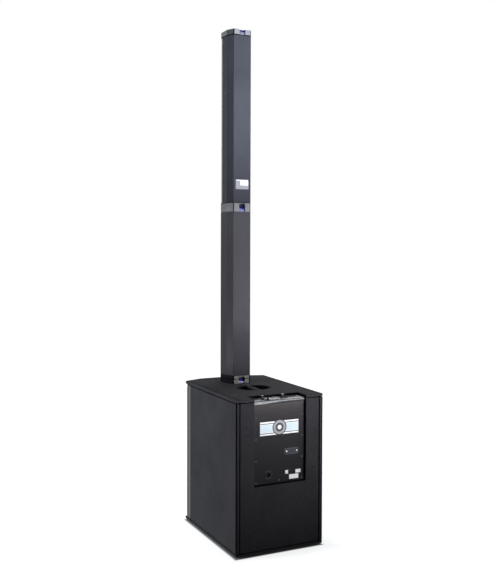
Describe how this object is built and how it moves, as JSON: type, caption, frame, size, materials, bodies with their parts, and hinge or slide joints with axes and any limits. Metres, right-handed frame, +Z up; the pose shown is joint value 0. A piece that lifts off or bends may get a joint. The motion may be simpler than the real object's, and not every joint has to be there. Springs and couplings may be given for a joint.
{
  "type": "column pa system",
  "caption": "Column PA system: a bowed subwoofer cabinet with a rear mixer deck and amplifier plate, and a slim plug-in column of spacer and satellite speaker.",
  "frame": {"origin": "bottom centre of the bounding box, on the floor under the feet", "axes": "+Z up, -Y is the front that the loudspeakers face, +Y is the rear with the controls, +X is the side at the left of someone who faces the rear"},
  "size_m": [0.4, 0.571, 2.2016],
  "materials": {
    "cabinet_paint": "matt structured black paint on plywood",
    "raw_birch": "raw birch plywood, partly black stained",
    "foot_rubber": "matt",
    "handle_plastic": "fine grained",
    "grille_steel": "powder coated perforated steel",
    "grille_foam": "open cell foam",
    "black_screws": "black zinc",
    "port_plastic": "matt",
    "basket_alloy": "black coated",
    "magnet_steel": "dark ferrite and black plate",
    "cone_paper": "pressed paper",
    "coil_copper": "wound wire",
    "surround_rubber": "matt",
    "spider_cloth": "treated cloth",
    "amp_plate_paint": "satin black sheet",
    "deck_paint": "satin black sheet with light print",
    "socket_plastic": "matt",
    "knob_plastic": "satin",
    "light_lens": "clear lens",
    "board_green": "circuit board",
    "sink_aluminium": "extruded",
    "transformer_wrap": "wound tape",
    "contact_metal": "plated",
    "cap_plastic": "fine grained grey black",
    "base_plastic": "fine grained black",
    "lock_blue": "satin blue",
    "plug_plastic": "blue black, fine grained",
    "spacer_paint": "satin dark grey",
    "satellite_paint": "satin dark grey"
  },
  "bodies": {
    "cabinet": {"side_panel_left": "cabinet_paint", "side_panel_right": "cabinet_paint", "top_panel": "cabinet_paint", "bottom_panel": "cabinet_paint", "rear_panel": "cabinet_paint", "front_baffle": "raw_birch", "internal_brace": "raw_birch", "rubber_feet": "foot_rubber", "top_handle": "handle_plastic", "sub_grille": "grille_steel", "sub_grille_foam": "grille_foam", "sub_grille_screws": "black_screws", "bass_ports": "port_plastic", "woofer_basket": "basket_alloy", "woofer_magnet": "magnet_steel", "woofer_surround": "surround_rubber", "woofer_spider": "spider_cloth", "woofer_bolts": "black_screws", "amp_housing": "raw_birch", "amp_plate": "amp_plate_paint", "mixer_deck": "deck_paint", "combo_sockets": "socket_plastic", "phono_sockets": "socket_plastic", "jack_socket": "socket_plastic", "status_lights": "light_lens", "circuit_boards": "board_green", "heat_sink": "sink_aluminium", "power_transformer": "transformer_wrap", "power_inlet": "socket_plastic", "inlet_contacts": "socket_plastic", "plate_screws": "black_screws", "coupling_base": "base_plastic", "base_contacts": "contact_metal"},
    "woofer_mover": {"woofer_cone": "cone_paper", "woofer_dust_cap": "cone_paper", "woofer_voice_coil": "coil_copper"},
    "level_knob_1": {"level_knob_1": "knob_plastic"},
    "level_knob_2": {"level_knob_2": "knob_plastic"},
    "mode_button": {"mode_button": "knob_plastic"},
    "base_lock": {"base_lock": "lock_blue"},
    "spacer": {"spacer_plug": "plug_plastic", "spacer_bottom_cap": "base_plastic", "spacer_tube": "spacer_paint", "spacer_top_cap": "cap_plastic", "spacer_contacts": "contact_metal"},
    "spacer_lock": {"spacer_lock": "lock_blue"},
    "satellite": {"satellite_plug": "plug_plastic", "satellite_bottom_cap": "cap_plastic", "satellite_top_cap": "cap_plastic", "satellite_contacts": "contact_metal", "satellite_body": "satellite_paint", "satellite_baffle": "raw_birch", "satellite_grille": "grille_steel", "satellite_grille_screws": "black_screws", "mid_frames": "basket_alloy", "mid_surrounds": "surround_rubber"},
    "satellite_lock": {"satellite_lock": "lock_blue"},
    "mid_movers": {"mid_cones": "cone_paper"}
  },
  "joints": [
    {"name": "spacer_lift", "type": "slide", "parent": "cabinet", "child": "spacer", "axis": [0, 0, 1], "range_m": [0, 0.08]},
    {"name": "satellite_lift", "type": "slide", "parent": "spacer", "child": "satellite", "axis": [0, 0, 1], "range_m": [0, 0.08]},
    {"name": "base_lock_push", "type": "slide", "parent": "cabinet", "child": "base_lock", "axis": [0, -1, 0], "range_m": [0, 0.005]},
    {"name": "spacer_lock_push", "type": "slide", "parent": "spacer", "child": "spacer_lock", "axis": [0, -1, 0], "range_m": [0, 0.005]},
    {"name": "satellite_lock_push", "type": "slide", "parent": "satellite", "child": "satellite_lock", "axis": [0, -1, 0], "range_m": [0, 0.005]},
    {"name": "level_knob_1_turn", "type": "hinge", "parent": "cabinet", "child": "level_knob_1", "pos_m": [0.058, 0.2355, 0.623], "axis": [0, 0, 1], "range_deg": [-150, 150]},
    {"name": "level_knob_2_turn", "type": "hinge", "parent": "cabinet", "child": "level_knob_2", "pos_m": [-0.035, 0.2355, 0.623], "axis": [0, 0, 1], "range_deg": [-150, 150]},
    {"name": "mode_button_press", "type": "slide", "parent": "cabinet", "child": "mode_button", "axis": [0, 0, -1], "range_m": [0, 0.002], "stiffness_N_per_m": 500, "springref_m": -0.002},
    {"name": "woofer_excursion", "type": "slide", "parent": "cabinet", "child": "woofer_mover", "axis": [0, -1, 0], "range_m": [-0.006, 0.006], "stiffness_N_per_m": 2500, "deforming": ["woofer_surround", "woofer_spider"]},
    {"name": "mid_excursion", "type": "slide", "parent": "satellite", "child": "mid_movers", "axis": [0, -1, 0], "range_m": [-0.0015, 0.0015], "stiffness_N_per_m": 3000, "deforming": ["mid_surrounds"]}
  ]
}
